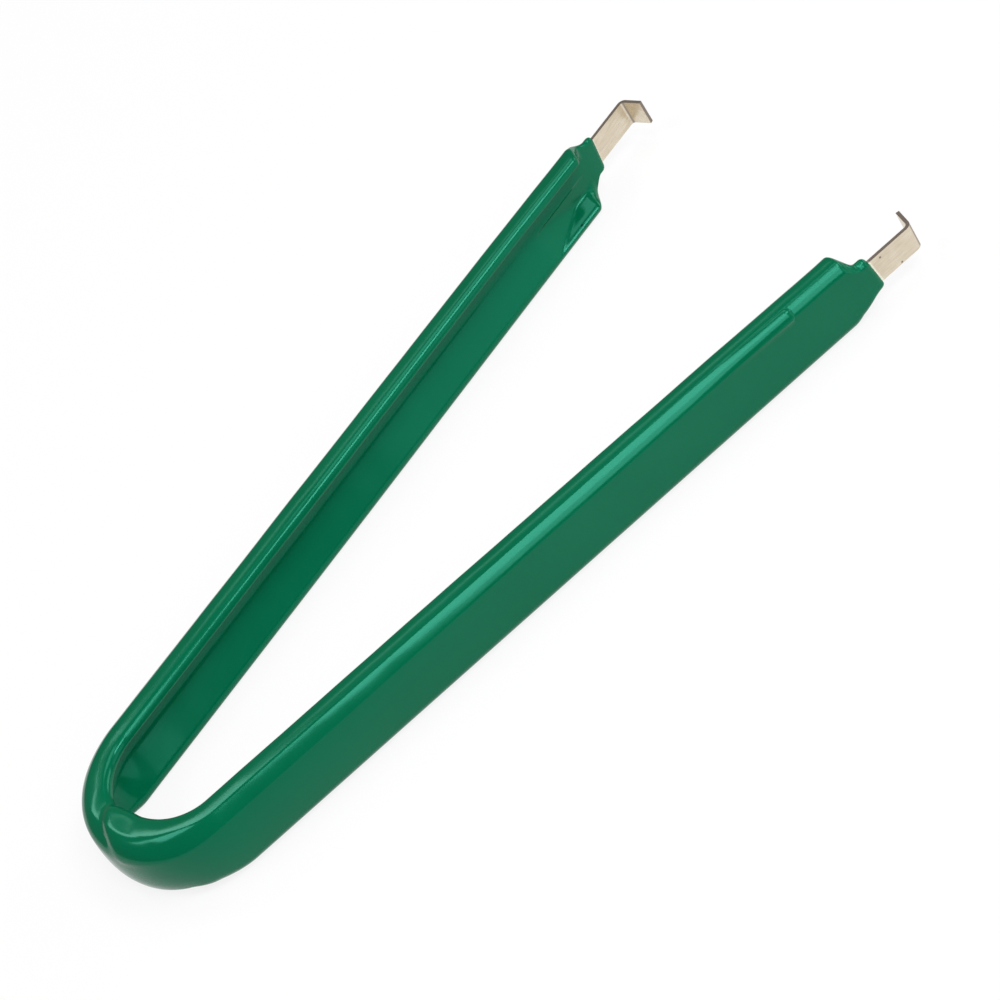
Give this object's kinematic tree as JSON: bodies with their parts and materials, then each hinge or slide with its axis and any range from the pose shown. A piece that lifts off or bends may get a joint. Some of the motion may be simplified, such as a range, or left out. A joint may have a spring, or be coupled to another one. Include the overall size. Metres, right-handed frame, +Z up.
{
  "type": "ic extractor tool",
  "caption": "U-shaped spring-steel chip extractor with a dipped vinyl grip and inward hooks that lift integrated circuits out of sockets.",
  "frame": {"origin": "on the surface it lies on, under the middle of the tool", "axes": "+X from the bend to the hooks, +Y to the far arm, +Z up, across the width of the strip"},
  "size_m": [0.1214, 0.0562, 0.0103],
  "materials": {
    "spring_steel": "plain nickel-plated strip, satin",
    "green_vinyl": "glossy dip-moulded vinyl"
  },
  "bodies": {
    "root": {"steel_strip": "spring_steel", "dipped_grip": "green_vinyl"}
  },
  "joints": []
}
